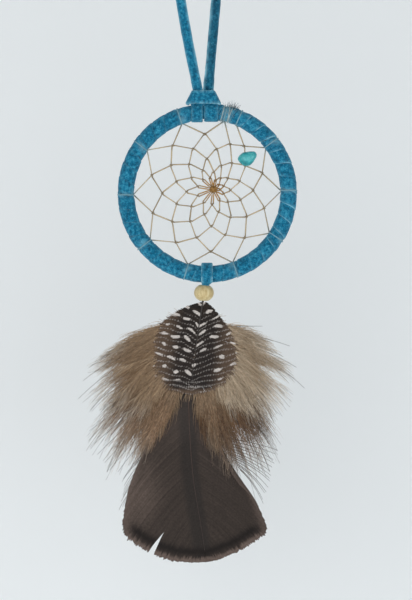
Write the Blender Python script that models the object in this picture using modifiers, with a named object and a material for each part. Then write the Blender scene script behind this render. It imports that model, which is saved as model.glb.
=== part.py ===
"""Small hoop dream catcher that hangs from a suede lace.

A metal hoop is wound with suede lace and strung with a spiral web of waxed thread that carries one
turquoise chip. A doubled lace holds the hoop from above by a lark's head hitch. A second lace
hangs from the bottom of the hoop through a wooden bead, and holds two feathers by their quills.

Metres, +Z up, +X to the right and -Y to the front. The origin is where the nail or hook carries
the loop, just under the knot. Plane places are given from the centre of the hoop as (x, z).
"""

import math

import bmesh
import bpy
from mathutils import Matrix, Vector

GAP = 0.0003

# Hoop, wrap and web
HOOP_CENTRE = Vector((0.004, 0.0, -0.110))
HOOP_RADIUS = 0.0287
CORE_WIRE_RADIUS = 0.0014
WRAP_INNER_RADIUS = 0.0019
WRAP_OUTER_RADIUS = 0.0030
WRAP_TURNS = 36
WRAP_STEPS_PER_TURN = 10
WRAP_START_DEG = 20.0
WRAP_SEAM_DEG = 0.6
THREAD_RADIUS = 0.000225
WEB_ANCHOR_DEG = (23.2, 52.3, 88.4, 122.9, 160.0, 195.3, 230.7, 268.8, 305.5, 340.2, 373.2)
WEB_ANCHOR_RADIUS = 0.0256
WEB_END_RADIUS = 0.0244
WEB_CENTRE = Vector((0.00215, 0.0, 0.00127))
WEB_FIRST_PULL = 0.0039
WEB_PULL = 0.00355
WEB_CORE_SHRINK = 0.62
WEB_ROUNDS = 5
WEB_LAYER_Y = 0.00036
THREAD_TURN_RADIUS = WRAP_OUTER_RADIUS + GAP + THREAD_RADIUS
CENTRE_KNOT_RADIUS = 0.0011
START_KNOT_DEG = 17.6
CHIP_SIZE = (0.0065, 0.0042, 0.0047)
CHIP_PLACE = (0.0143, 0.0122)

# Laces
LACE_THICKNESS = 0.0010
LACE_CLEAR_RADIUS = WRAP_OUTER_RADIUS + 0.0004
LACE_TURN_RADIUS = LACE_CLEAR_RADIUS + LACE_THICKNESS / 2
STRAND_WIDTH = 0.0033
STRAND_Y = -0.0030
HITCH_LEFT_X = -0.0038
HITCH_RIGHT_X = 0.0013
HITCH_TURN_WIDTH = 0.0038
CROSSBAR_Z = 0.03405
CROSSBAR_HEIGHT = 0.0039
DROP_LACE_X = -0.00015
DROP_LACE_WIDTH = 0.0041
STRAND_LEFT = ((-0.0035, 0.0333), (-0.0037, 0.0372), (-0.0066, 0.0520), (-0.0094, 0.0681),
               (-0.0116, 0.0830), (-0.0119, 0.0940), (-0.0096, 0.1030), (-0.0062, 0.1114))
STRAND_RIGHT = ((0.0006, 0.0333), (0.0006, 0.0372), (0.0017, 0.0520), (0.0031, 0.0681),
                (0.0044, 0.0830), (0.0040, 0.0940), (0.0013, 0.1030), (-0.0018, 0.1114))
KNOT_PLACE = (-0.0040, 0.1156)
KNOT_SIZE = (0.0092, 0.0070, 0.0074)
TAIL_LEFT = ((-0.0057, 0.1197), (-0.0066, 0.1240), (-0.0085, 0.1290))
TAIL_RIGHT = ((-0.0022, 0.1197), (-0.0012, 0.1240), (0.0002, 0.1280))

# Bead and feathers
BEAD_PLACE = (-0.0012, -0.0352)
BEAD_RADIUS = 0.0035
BEAD_HALF_HEIGHT = 0.0031
BEAD_HOLE_RADIUS = 0.0015
LACE_END_RADIUS = 0.0010
QUILL_Y = 0.00065
GUINEA_Y = -0.0010
TURKEY_Y = 0.0013
DOWN_TUFT_Y = 0.00025
VANE_THICKNESS = 0.0008
TUFT_THICKNESS = 0.0005
SHAFT_RADIUS = 0.00042
SHAFT_TIP_RADIUS = 0.00016
VANE_TO_SHAFT = SHAFT_RADIUS + GAP + 0.00005
GUINEA_SHAFT = ((-0.0014, -0.0372), (-0.0020, -0.0410), (-0.0034, -0.0500), (-0.0056, -0.0640))
TURKEY_SHAFT = ((-0.0014, -0.0372), (-0.0028, -0.0450), (-0.0056, -0.0600), (-0.0068, -0.0730),
                (-0.0052, -0.0984), (-0.0015, -0.1200), (-0.0005, -0.1290))
GUINEA_LEFT = ((-0.0055, -0.0397), (-0.0096, -0.0410), (-0.0156, -0.0446), (-0.0186, -0.0490),
               (-0.0190, -0.0580), (-0.0177, -0.0673), (-0.0120, -0.0698), (-0.0075, -0.0708))
GUINEA_RIGHT = ((0.0015, -0.0400), (0.0067, -0.0465), (0.0097, -0.0517), (0.0108, -0.0568),
                (0.0097, -0.0621), (0.0068, -0.0660), (0.0022, -0.0688), (-0.0040, -0.0706))
GUINEA_DOWN_LEFT = ((-0.0196, -0.0490), (-0.0290, -0.0520), (-0.0390, -0.0600), (-0.0420, -0.0680),
                    (-0.0360, -0.0780), (-0.0250, -0.0790), (-0.0186, -0.0690), (-0.0200, -0.0580))
GUINEA_DOWN_RIGHT = ((0.0076, -0.0468), (0.0160, -0.0485), (0.0270, -0.0530), (0.0340, -0.0620),
                     (0.0300, -0.0710), (0.0220, -0.0760), (0.0120, -0.0740), (0.0106, -0.0626),
                     (0.0118, -0.0568), (0.0106, -0.0515))
TURKEY_LEFT = ((-0.0230, -0.0944), (-0.0267, -0.1029), (-0.0289, -0.1125), (-0.0295, -0.1192),
               (-0.0289, -0.1211), (-0.0211, -0.1263), (-0.0149, -0.1178), (-0.0187, -0.1281),
               (-0.0133, -0.1296), (-0.0037, -0.1300))
TURKEY_RIGHT = ((0.0040, -0.0936), (0.0097, -0.1010), (0.0171, -0.1096), (0.0204, -0.1170),
                (0.0208, -0.1200), (0.0141, -0.1244), (0.0067, -0.1281), (0.0026, -0.1294))
TURKEY_DOWN_LEFT = ((-0.0110, -0.0450), (-0.0200, -0.0530), (-0.0300, -0.0660), (-0.0370, -0.0780),
                    (-0.0390, -0.0870), (-0.0340, -0.0950), (-0.0270, -0.0970), (-0.0226, -0.0930))
TURKEY_DOWN_RIGHT = ((0.0040, -0.0450), (0.0120, -0.0540), (0.0200, -0.0680), (0.0240, -0.0820),
                     (0.0250, -0.0960), (0.0220, -0.1050), (0.0175, -0.1076), (0.0108, -0.1000),
                     (0.0050, -0.0922))
DOWN_TUFT = ((-0.0100, -0.0580), (0.0080, -0.0590), (0.0140, -0.0760), (0.0120, -0.0920),
             (0.0020, -0.1000), (-0.0080, -0.0940), (-0.0140, -0.0780))
DOWN_TOP_Z = -0.0440
VANE_TOP_Z = -0.0880

COLOURS = {
    "suede": ((0.010, 0.180, 0.310), 0.90, 0.0),
    "steel": ((0.550, 0.560, 0.580), 0.35, 1.0),
    "thread": ((0.420, 0.310, 0.190), 0.60, 0.0),
    "turquoise": ((0.040, 0.420, 0.450), 0.25, 0.0),
    "wood": ((0.680, 0.570, 0.300), 0.55, 0.0),
    "guinea": ((0.050, 0.042, 0.040), 0.70, 0.0),
    "turkey": ((0.060, 0.048, 0.042), 0.65, 0.0),
    "down": ((0.210, 0.150, 0.095), 0.90, 0.0),
    "quill": ((0.120, 0.070, 0.045), 0.45, 0.0),
}


def place(x, z, y=0.0):
    """The point of the object's frame at x and z from the centre of the hoop."""
    return HOOP_CENTRE + Vector((x, y, z))


def around_hoop(ring_angle, tube_angle, radius):
    """A point at a radius round the hoop's wire: ring angle clockwise from the top, seen from the
    front, and tube angle from the front (0) over the outer side (quarter turn) to the back."""
    reach = HOOP_RADIUS + radius * math.sin(tube_angle)
    depth = -radius * math.cos(tube_angle)
    return place(reach * math.sin(ring_angle), reach * math.cos(ring_angle), depth)


def smooth_path(points, steps=4):
    """Points on a Catmull-Rom curve through the given (x, z) points."""
    ends = [points[0], *points, points[-1]]
    curve = []
    for i in range(len(points) - 1):
        a, b, c, d = (Vector(p) for p in ends[i:i + 4])
        for step in range(steps):
            t = step / steps
            curve.append(0.5 * (2 * b + (c - a) * t + (2 * a - 5 * b + 4 * c - d) * t ** 2
                                + (3 * b - 3 * c + d - a) * t ** 3))
    curve.append(Vector(points[-1]))
    return curve


def sideways(points, i):
    """The unit vector to the right of a path of (x, z) points that runs downwards at point i."""
    ahead = points[min(i + 1, len(points) - 1)] - points[max(i - 1, 0)]
    return Vector((-ahead[1], ahead[0])).normalized()


def make_material(name):
    colour, roughness, metallic = COLOURS[name]
    material = bpy.data.materials.new(name)
    material.use_nodes = True
    shader = material.node_tree.nodes["Principled BSDF"]
    shader.inputs["Base Color"].default_value = (*colour, 1.0)
    shader.inputs["Roughness"].default_value = roughness
    shader.inputs["Metallic"].default_value = metallic
    material.diffuse_color = (*colour, 1.0)
    return material


class Assembly:
    """The collection of parts, with one empty for each moving body at its joint."""

    def __init__(self):
        self.parts = bpy.data.collections.new("dream_catcher")
        self.cutters = bpy.data.collections.new("cutters")
        for collection in (self.parts, self.cutters):
            bpy.context.scene.collection.children.link(collection)
        self.materials = {name: make_material(name) for name in COLOURS}
        self.pivots = {}

    def add_body(self, name, pivot, parent=None):
        empty = bpy.data.objects.new(name + "_pivot", None)
        empty.empty_display_size = 0.004
        empty.location = pivot
        if parent:
            empty.parent = self.pivots[parent][0]
            empty.location -= self.pivots[parent][1]
        self.parts.objects.link(empty)
        self.pivots[name] = (empty, Vector(pivot))

    def add_part(self, piece, material, body):
        """Link a piece that was made at its world place, and hang it on its body's empty."""
        piece.data.materials.clear()
        piece.data.materials.append(self.materials[material])
        for collection in list(piece.users_collection):
            collection.objects.unlink(piece)
        self.parts.objects.link(piece)
        empty, pivot = self.pivots[body]
        piece.parent = empty
        piece.location -= pivot

    def add_cutter(self, piece):
        for collection in list(piece.users_collection):
            collection.objects.unlink(piece)
        self.cutters.objects.link(piece)
        piece.hide_render = True
        piece.display_type = "WIRE"


def mesh_piece(name, builder):
    """An object named name from a bmesh that builder fills."""
    mesh = bpy.data.meshes.new(name)
    bm = bmesh.new()
    builder(bm)
    bm.to_mesh(mesh)
    bm.free()
    return bpy.data.objects.new(name, mesh)


def shade_round(piece, angle_deg=50.0):
    piece.data.shade_smooth()
    piece.data.set_sharp_from_angle(angle=math.radians(angle_deg))


def ribbon(name, edges, thickness):
    """A strap: an open surface between pairs of edge points, made solid about its middle."""
    def fill(bm):
        rows = [[bm.verts.new(point) for point in pair] for pair in edges]
        for (a, b), (c, d) in zip(rows, rows[1:]):
            bm.faces.new((a, b, d, c))
    piece = mesh_piece(name, fill)
    solid = piece.modifiers.new("thickness", "SOLIDIFY")
    solid.thickness = thickness
    solid.offset = 0.0
    shade_round(piece)
    return piece


def flat_lace(name, points, y, width):
    """A lace that lies flat in the object's plane along (x, z) points."""
    path = smooth_path(points)
    edges = []
    for i, point in enumerate(path):
        side = sideways(path, i) * width / 2
        edges.append((place(*(point + side), y), place(*(point - side), y)))
    return ribbon(name, edges, LACE_THICKNESS)


def lace_turn(name, ring_angle, width, tube_start_deg, tube_end_deg, steps):
    """A lace round the hoop's wire between two tube angles, at one place of the hoop."""
    half_angle = width / 2 / HOOP_RADIUS
    edges = []
    for step in range(steps + 1):
        tube = math.radians(tube_start_deg + (tube_end_deg - tube_start_deg) * step / steps)
        edges.append(tuple(around_hoop(ring_angle + side * half_angle, tube, LACE_TURN_RADIUS)
                           for side in (-1, 1)))
    return ribbon(name, edges, LACE_THICKNESS)


def rod(name, points, radii):
    """A round rod or thread along world points, with a radius at each point."""
    curve = bpy.data.curves.new(name, "CURVE")
    curve.dimensions = "3D"
    curve.bevel_depth = 1.0
    curve.bevel_resolution = 2
    curve.use_fill_caps = True
    spline = curve.splines.new("POLY")
    spline.points.add(len(points) - 1)
    for control, point, radius in zip(spline.points, points, radii):
        control.co = (*point, 1.0)
        control.radius = radius
    spline.use_smooth = True
    return bpy.data.objects.new(name, curve)


def plate(name, outline, y, thickness):
    """A flat plate with the given (x, z) outline, in the object's plane."""
    curve = bpy.data.curves.new(name, "CURVE")
    curve.dimensions = "2D"
    curve.fill_mode = "BOTH"
    curve.extrude = thickness / 2
    spline = curve.splines.new("POLY")
    spline.points.add(len(outline) - 1)
    for control, (x, z) in zip(spline.points, outline):
        control.co = (x, z, 0.0, 1.0)
    spline.use_cyclic_u = True
    piece = bpy.data.objects.new(name, curve)
    piece.rotation_euler = (math.pi / 2, 0.0, 0.0)
    piece.location = place(0.0, 0.0, y)
    return piece


def rounded_lump(name, size, centre, levels=2):
    """A soft lump: a cube cage rounded by subdivision to about the given size."""
    cage_growth = 1.22

    def fill(bm):
        bmesh.ops.create_cube(bm, size=cage_growth)
        bmesh.ops.scale(bm, vec=size, verts=bm.verts)
    piece = mesh_piece(name, fill)
    rounding = piece.modifiers.new("rounding", "SUBSURF")
    rounding.levels = levels
    rounding.render_levels = levels
    piece.location = centre
    piece.data.shade_smooth()
    return piece


def web_nodes():
    """The knots of the spiral web, from the hoop inwards, as vectors from the hoop's centre.

    Each knot of a round hangs on the middle of a span of the round before it, and pulls that
    span towards the centre of the web."""
    nodes = []
    for degrees in WEB_ANCHOR_DEG:
        angle = math.radians(degrees)
        nodes.append(Vector((math.sin(angle), 0.0, math.cos(angle))) * WEB_ANCHOR_RADIUS)
    spans = len(WEB_ANCHOR_DEG)
    for j in range(spans, spans * (WEB_ROUNDS + 1)):
        middle = (nodes[j - spans] + nodes[j - spans + 1]) / 2
        inwards = WEB_CENTRE - middle
        pull = WEB_FIRST_PULL if j < 2 * spans else WEB_PULL
        pull = min(pull, inwards.length * (1.0 - WEB_CORE_SHRINK))
        nodes.append(middle + inwards.normalized() * pull)
    return nodes


def web_thread_points():
    """The one thread of the web. It ties each knot in front of the span that the round before
    left there, so it runs in front at its own knots and behind at those of the next round."""
    nodes = web_nodes()
    spans = len(WEB_ANCHOR_DEG)
    points = []
    for j, node in enumerate(nodes):
        own = node.normalized() * WEB_END_RADIUS if j < spans else node
        points.append(HOOP_CENTRE + own + Vector((0.0, -WEB_LAYER_Y, 0.0)))
        if j + spans < len(nodes):
            points.append(HOOP_CENTRE + nodes[j + spans] + Vector((0.0, WEB_LAYER_Y, 0.0)))
    return points


def chip_strand():
    """World start and end of the span that carries the chip: from the knot below it to the one
    above it."""
    nodes = web_nodes()
    spans = len(WEB_ANCHOR_DEG)
    low = HOOP_CENTRE + nodes[2 * spans] + Vector((0.0, WEB_LAYER_Y, 0.0))
    high = HOOP_CENTRE + nodes[spans] + Vector((0.0, -WEB_LAYER_Y, 0.0))
    return low, high


def make_bodies(assembly):
    assembly.add_body("hanging_loop", Vector((0.0, 0.0, 0.0)))
    assembly.add_body("loop_hitch", place(-0.0015, CROSSBAR_Z, STRAND_Y), "hanging_loop")
    assembly.add_body("hoop", place(0.0, HOOP_RADIUS), "loop_hitch")
    assembly.add_body("chip", place(*CHIP_PLACE), "hoop")
    assembly.add_body("drop_loop", place(DROP_LACE_X, -HOOP_RADIUS), "hoop")
    assembly.add_body("tassel", place(-0.0009, -0.0324), "drop_loop")
    bead_mouth_z = BEAD_PLACE[1] - BEAD_HALF_HEIGHT + GAP
    assembly.add_body("guinea_feather", place(GUINEA_SHAFT[0][0], bead_mouth_z, -QUILL_Y), "tassel")
    assembly.add_body("turkey_feather", place(TURKEY_SHAFT[0][0], bead_mouth_z, QUILL_Y), "tassel")


def make_hanging_loop(assembly):
    strands = {"loop_strand_left": STRAND_LEFT, "loop_strand_right": STRAND_RIGHT}
    for name, points in strands.items():
        lace = flat_lace(name, points, STRAND_Y, STRAND_WIDTH)
        assembly.add_part(lace, "suede", "hanging_loop")
    knot = rounded_lump("loop_knot", KNOT_SIZE, place(*KNOT_PLACE, STRAND_Y))
    assembly.add_part(knot, "suede", "hanging_loop")
    tails = {"loop_tail_left": TAIL_LEFT, "loop_tail_right": TAIL_RIGHT}
    for name, points in tails.items():
        lace = flat_lace(name, points, STRAND_Y, STRAND_WIDTH)
        assembly.add_part(lace, "suede", "hanging_loop")


def make_loop_hitch(assembly):
    """The lark's head: two turns round the hoop, and the crossbar in front of the strands."""
    turns = {"hitch_turn_left": HITCH_LEFT_X, "hitch_turn_right": HITCH_RIGHT_X}
    for name, x in turns.items():
        ring_angle = math.asin(x / HOOP_RADIUS)
        turn = lace_turn(name, ring_angle, HITCH_TURN_WIDTH, 45.0, -255.0, 20)
        assembly.add_part(turn, "suede", "loop_hitch")
    front_y = STRAND_Y - 0.00145
    plan = ((-0.0067, -0.0012), (-0.0067, -0.0030), (-0.0058, front_y), (-0.0040, front_y),
            (0.0012, front_y), (0.0027, front_y), (0.0036, -0.0030), (0.0036, -0.0012))
    half = CROSSBAR_HEIGHT / 2
    edges = [(place(x, CROSSBAR_Z + half, y), place(x, CROSSBAR_Z - half, y)) for x, y in plan]
    crossbar = ribbon("hitch_crossbar", edges, LACE_THICKNESS)
    assembly.add_part(crossbar, "suede", "loop_hitch")


def make_hoop(assembly):
    bpy.ops.mesh.primitive_torus_add(major_radius=HOOP_RADIUS, minor_radius=CORE_WIRE_RADIUS,
                                     major_segments=48, minor_segments=8,
                                     location=HOOP_CENTRE, rotation=(math.pi / 2, 0.0, 0.0))
    core = bpy.context.object
    core.name = "hoop_core"
    core.data.shade_smooth()
    assembly.add_part(core, "steel", "hoop")

    pitch = math.radians(360.0 / WRAP_TURNS)
    band = pitch - math.radians(WRAP_SEAM_DEG)
    middle_radius = (WRAP_INNER_RADIUS + WRAP_OUTER_RADIUS) / 2
    edges = []
    for step in range((WRAP_TURNS - 1) * WRAP_STEPS_PER_TURN + 1):
        turn = step / WRAP_STEPS_PER_TURN
        ring_angle = math.radians(WRAP_START_DEG) + pitch * turn
        tube_angle = 2 * math.pi * turn
        edges.append((around_hoop(ring_angle, tube_angle, middle_radius),
                      around_hoop(ring_angle + band, tube_angle, middle_radius)))
    wrap = ribbon("suede_wrap", edges, WRAP_OUTER_RADIUS - WRAP_INNER_RADIUS)
    assembly.add_part(wrap, "suede", "hoop")


def thread_ring(name, ring_angle, turns_width=0.0):
    """A turn of thread round the wrapped hoop; turns_width spreads it into a wider binding."""
    bpy.ops.mesh.primitive_torus_add(major_radius=THREAD_TURN_RADIUS, minor_radius=THREAD_RADIUS,
                                     major_segments=12, minor_segments=6)
    ring = bpy.context.object
    ring.name = name
    widen = Matrix.Diagonal((1.0, 1.0, 1.0 + turns_width / (2 * THREAD_RADIUS), 1.0))
    ring.data.transform(widen)
    ring.rotation_euler = (0.0, ring_angle + math.pi / 2, 0.0)
    ring.location = around_hoop(ring_angle, 0.0, 0.0)
    ring.data.shade_smooth()
    return ring


def make_web(assembly):
    points = web_thread_points()
    net = rod("web_net", points, [THREAD_RADIUS] * len(points))
    assembly.add_part(net, "thread", "hoop")
    for number, degrees in enumerate(WEB_ANCHOR_DEG, 1):
        ring = thread_ring(f"web_hitch_{number:02d}", math.radians(degrees))
        assembly.add_part(ring, "thread", "hoop")
    start_knot = thread_ring("web_start_knot", math.radians(START_KNOT_DEG), 0.0012)
    assembly.add_part(start_knot, "thread", "hoop")
    knot_size = (2 * CENTRE_KNOT_RADIUS, 2 * CENTRE_KNOT_RADIUS, 2 * CENTRE_KNOT_RADIUS)
    centre_knot = rounded_lump("web_centre_knot", knot_size, HOOP_CENTRE + WEB_CENTRE, 1)
    assembly.add_part(centre_knot, "thread", "hoop")


def make_chip(assembly):
    """The turquoise chip, drilled along the span that it is strung on."""
    low, high = chip_strand()
    along = (high - low).normalized()
    centre = place(*CHIP_PLACE)
    centre = low + along * (centre - low).dot(along)
    chip = rounded_lump("turquoise_chip", CHIP_SIZE, centre)
    chip.rotation_euler = (0.0, math.radians(8.0), 0.0)
    bpy.ops.mesh.primitive_cylinder_add(vertices=12, radius=THREAD_RADIUS + 0.00035,
                                        depth=2 * CHIP_SIZE[0], location=centre)
    drill = bpy.context.object
    drill.name = "chip_drill"
    drill.rotation_euler = along.to_track_quat("Z", "Y").to_euler()
    assembly.add_cutter(drill)
    hole = chip.modifiers.new("hole", "BOOLEAN")
    hole.operation = "DIFFERENCE"
    hole.object = drill
    assembly.add_part(chip, "turquoise", "chip")


def make_drop_lace(assembly):
    """The lace that is folded over the bottom of the hoop, open below, where the bead hangs."""
    ring_angle = math.pi - DROP_LACE_X / HOOP_RADIUS
    lace = lace_turn("drop_lace", ring_angle, DROP_LACE_WIDTH, 55.0, -235.0, 20)
    assembly.add_part(lace, "suede", "drop_loop")


def make_tassel(assembly):
    steps = 8
    hole_angle = math.acos(BEAD_HOLE_RADIUS / BEAD_RADIUS)
    profile = []
    for step in range(steps + 1):
        angle = hole_angle * (1 - 2 * step / steps)
        profile.append((BEAD_RADIUS * math.cos(angle), BEAD_HALF_HEIGHT * math.sin(angle)))

    def fill(bm):
        verts = [bm.verts.new((x, 0.0, z)) for x, z in profile]
        for a, b in zip(verts, verts[1:] + verts[:1]):
            bm.edges.new((a, b))
    bead = mesh_piece("wooden_bead", fill)
    turned = bead.modifiers.new("turned", "SCREW")
    turned.steps = 24
    turned.render_steps = 24
    turned.use_merge_vertices = True
    turned.merge_threshold = 0.00001
    turned.use_smooth_shade = True
    bead.location = place(*BEAD_PLACE)
    assembly.add_part(bead, "wood", "tassel")

    top = BEAD_PLACE[1] + BEAD_HALF_HEIGHT - GAP
    ends = [place(BEAD_PLACE[0], top), place(BEAD_PLACE[0], -0.0364)]
    lace_end = rod("lace_end", ends, [LACE_END_RADIUS] * 2)
    assembly.add_part(lace_end, "suede", "tassel")


def shaft(name, points, quill_y, vane_y):
    """A feather's quill and shaft, which tapers to the tip and leans into the vane's layer."""
    path = smooth_path(points)
    last = len(path) - 1
    world = []
    radii = []
    for i, (x, z) in enumerate(path):
        into_layer = min(1.0, 4.0 * i / last)
        world.append(place(x, z, quill_y + (vane_y - quill_y) * into_layer))
        radii.append(SHAFT_RADIUS + (SHAFT_TIP_RADIUS - SHAFT_RADIUS) * i / last)
    return rod(name, world, radii)


def shaft_side(points, side, top_z, bottom_z):
    """Points beside a shaft, on its left (-1) or right (1), that run up from bottom_z to top_z."""
    path = smooth_path(points, 3)
    beside = []
    for i, point in enumerate(path):
        if bottom_z <= point[1] <= top_z:
            beside.append(tuple(point + side * sideways(path, i) * VANE_TO_SHAFT))
    return beside[::-1]


def make_guinea_feather(assembly):
    body = "guinea_feather"
    assembly.add_part(shaft("guinea_shaft", GUINEA_SHAFT, -QUILL_Y, GUINEA_Y), "quill", body)
    vanes = {"guinea_vane_left": (GUINEA_LEFT, -1), "guinea_vane_right": (GUINEA_RIGHT, 1)}
    for name, (outer, side) in vanes.items():
        beside = shaft_side(GUINEA_SHAFT, side, -0.0388, -0.0660)
        tip = (GUINEA_SHAFT[-1][0] + side * GAP, -0.0704)
        vane = plate(name, [*outer, tip, *beside], GUINEA_Y, VANE_THICKNESS)
        assembly.add_part(vane, "guinea", body)
    for name, outline in (("guinea_down_left", GUINEA_DOWN_LEFT),
                          ("guinea_down_right", GUINEA_DOWN_RIGHT)):
        assembly.add_part(plate(name, outline, GUINEA_Y, VANE_THICKNESS), "down", body)


def make_turkey_feather(assembly):
    body = "turkey_feather"
    assembly.add_part(shaft("turkey_shaft", TURKEY_SHAFT, QUILL_Y, TURKEY_Y), "quill", body)
    sides = (("left", -1, TURKEY_LEFT, TURKEY_DOWN_LEFT), ("right", 1, TURKEY_RIGHT, TURKEY_DOWN_RIGHT))
    for label, side, vane_outline, down_outline in sides:
        beside_vane = shaft_side(TURKEY_SHAFT, side, VANE_TOP_Z - GAP, -0.1300)
        vane = plate(f"turkey_vane_{label}", [*vane_outline, *beside_vane], TURKEY_Y, VANE_THICKNESS)
        assembly.add_part(vane, "turkey", body)
        beside_down = shaft_side(TURKEY_SHAFT, side, DOWN_TOP_Z, VANE_TOP_Z + GAP)
        down = plate(f"turkey_down_{label}", [*down_outline, *beside_down], TURKEY_Y, VANE_THICKNESS)
        assembly.add_part(down, "down", body)
    tuft = plate("turkey_after_feather", DOWN_TUFT, DOWN_TUFT_Y, TUFT_THICKNESS)
    assembly.add_part(tuft, "down", body)


def main():
    for piece in list(bpy.data.objects):
        bpy.data.objects.remove(piece, do_unlink=True)
    assembly = Assembly()
    make_bodies(assembly)
    make_hanging_loop(assembly)
    make_loop_hitch(assembly)
    make_hoop(assembly)
    make_web(assembly)
    make_chip(assembly)
    make_drop_lace(assembly)
    make_tassel(assembly)
    make_guinea_feather(assembly)
    make_turkey_feather(assembly)


main()
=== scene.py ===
"""Looks of the dream catcher: suede, waxed thread, stone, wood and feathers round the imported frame.

Shapes are worked out in millimetres from the centre of the hoop, as (x, y, z) with +X to the right,
+Z up and -Y to the front, and become metres of the frame when a mesh is made.
"""

import math

import bpy
import numpy as np
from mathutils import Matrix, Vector
from numpy.random import RandomState


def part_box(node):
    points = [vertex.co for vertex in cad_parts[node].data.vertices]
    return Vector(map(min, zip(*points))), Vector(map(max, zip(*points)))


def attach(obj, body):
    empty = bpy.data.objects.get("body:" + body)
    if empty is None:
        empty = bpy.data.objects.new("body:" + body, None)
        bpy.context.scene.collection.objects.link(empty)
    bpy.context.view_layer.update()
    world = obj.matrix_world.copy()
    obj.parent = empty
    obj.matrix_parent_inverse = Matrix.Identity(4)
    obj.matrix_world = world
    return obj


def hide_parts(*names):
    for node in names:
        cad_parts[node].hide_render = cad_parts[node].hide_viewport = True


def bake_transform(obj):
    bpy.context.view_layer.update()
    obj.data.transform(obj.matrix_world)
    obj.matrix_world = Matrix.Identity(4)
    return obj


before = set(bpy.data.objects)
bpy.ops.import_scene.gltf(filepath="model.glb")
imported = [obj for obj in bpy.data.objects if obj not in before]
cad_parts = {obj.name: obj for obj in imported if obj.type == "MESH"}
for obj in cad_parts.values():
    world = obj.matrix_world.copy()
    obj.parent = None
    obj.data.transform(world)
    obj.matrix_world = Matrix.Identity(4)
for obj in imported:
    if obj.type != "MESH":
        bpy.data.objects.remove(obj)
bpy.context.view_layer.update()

MM = 0.001
CORE_LOW, CORE_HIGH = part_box("hoop_core")
HOOP_CENTRE = (np.array(CORE_LOW) + np.array(CORE_HIGH)) / 2
CORE_WIRE = (CORE_HIGH[1] - CORE_LOW[1]) / 2 / MM
HOOP_R = (CORE_HIGH[0] - CORE_LOW[0]) / 2 / MM - CORE_WIRE
WRAP_R = 3.0
RIGHT = np.array([1.0, 0.0, 0.0])
BACK = np.array([0.0, 1.0, 0.0])

VIEW_CENTRE = (-0.46, -37.75)
VIEW_HEIGHT = 211.7
CAMERA_DISTANCE = 1.1
SENSOR = 36.0


# ---------------------------------------------------------------------------- helpers

def linear(*rgb):
    """Linear colour of an 8-bit sRGB one."""
    values = np.array(rgb, float) / 255.0
    return np.where(values <= 0.04045, values / 12.92, ((values + 0.055) / 1.055) ** 2.4)


def smoothstep(low, high, value):
    """0 below low, 1 above high, and smooth between."""
    t = np.clip((value - low) / (high - low), 0.0, 1.0)
    return t * t * (3 - 2 * t)


def fade(low, high, value):
    """1 below low, 0 above high, and smooth between."""
    return 1 - smoothstep(low, high, value)


def toward(base, other, share):
    """base moved towards other by share, from 0 to 1."""
    return base + (other - base) * share


def unit(vectors):
    return vectors / np.maximum(np.linalg.norm(vectors, axis=-1, keepdims=True), 1e-9)


def curve_through(points, count):
    """count points, evenly spread by parameter, on a Catmull-Rom curve through points."""
    points = np.array(points, float)
    ends = np.vstack([2 * points[0] - points[1], points, 2 * points[-1] - points[-2]])
    at = np.linspace(0, len(points) - 1, count)
    i = np.minimum(at.astype(int), len(points) - 2)
    t = (at - i)[:, None]
    a, b, c, d = (ends[i + k] for k in range(4))
    return 0.5 * (2 * b + (c - a) * t + (2 * a - 5 * b + 4 * c - d) * t ** 2
                  + (3 * b - 3 * c + d - a) * t ** 3)


def points_between(wanted, places, points):
    """Points at the wanted places, in straight lines between points at known places."""
    return np.stack([np.interp(wanted, places, column) for column in points.T], -1)


def even_curve(points, count):
    """count points spaced evenly by length on a smooth curve through points."""
    dense = curve_through(points, 40 * len(points))
    walked = np.concatenate([[0], np.cumsum(np.linalg.norm(np.diff(dense, axis=0), axis=1))])
    return points_between(np.linspace(0, walked[-1], count), walked, dense)


def to_world(points):
    return HOOP_CENTRE + np.asarray(points, float) * MM


def cad_box(node):
    """Centre and half sizes, in millimetres, of a CAD node's box."""
    low, high = (np.array(corner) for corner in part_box(node))
    return ((low + high) / 2 - HOOP_CENTRE) / MM, (high - low) / 2 / MM


def flat_sides(route):
    """Vectors across a route that keep a lace on it facing the front."""
    return unit(np.cross(unit(np.gradient(route, axis=0)), BACK))


def smooth_noise(rng, count, step):
    """A smooth random track of count values about 0, one knot every step values."""
    knots = rng.normal(size=count // step + 3)
    at = np.arange(count) / step
    return np.interp(at, np.arange(len(knots)), knots)


def add_object(name, data):
    made = bpy.data.objects.new(name, data)
    bpy.context.scene.collection.objects.link(made)
    return made


def make_object(name, verts, quads, material, tint=None, edge=None):
    """A mesh object from points in millimetres and quads, with optional point attributes."""
    mesh = bpy.data.meshes.new(name)
    verts = to_world(verts.reshape(-1, 3)).astype(np.float32)
    quads = np.asarray(quads, np.int32).reshape(-1, 4)
    mesh.vertices.add(len(verts))
    mesh.vertices.foreach_set("co", verts.ravel())
    mesh.loops.add(quads.size)
    mesh.loops.foreach_set("vertex_index", quads.ravel())
    mesh.polygons.add(len(quads))
    mesh.polygons.foreach_set("loop_start", np.arange(0, quads.size, 4, dtype=np.int32))
    mesh.polygons.foreach_set("use_smooth", np.ones(len(quads), bool))
    mesh.update(calc_edges=True)
    if tint is not None:
        colours = np.ones((len(verts), 4), np.float32)
        colours[:, :3] = tint.reshape(-1, 3)
        layer = mesh.attributes.new("tint", "FLOAT_COLOR", "POINT")
        layer.data.foreach_set("color", colours.ravel())
    if edge is not None:
        layer = mesh.attributes.new("edge", "FLOAT", "POINT")
        layer.data.foreach_set("value", edge.astype(np.float32).ravel())
    mesh.validate()
    mesh.materials.append(material)
    return add_object(name, mesh)


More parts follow.
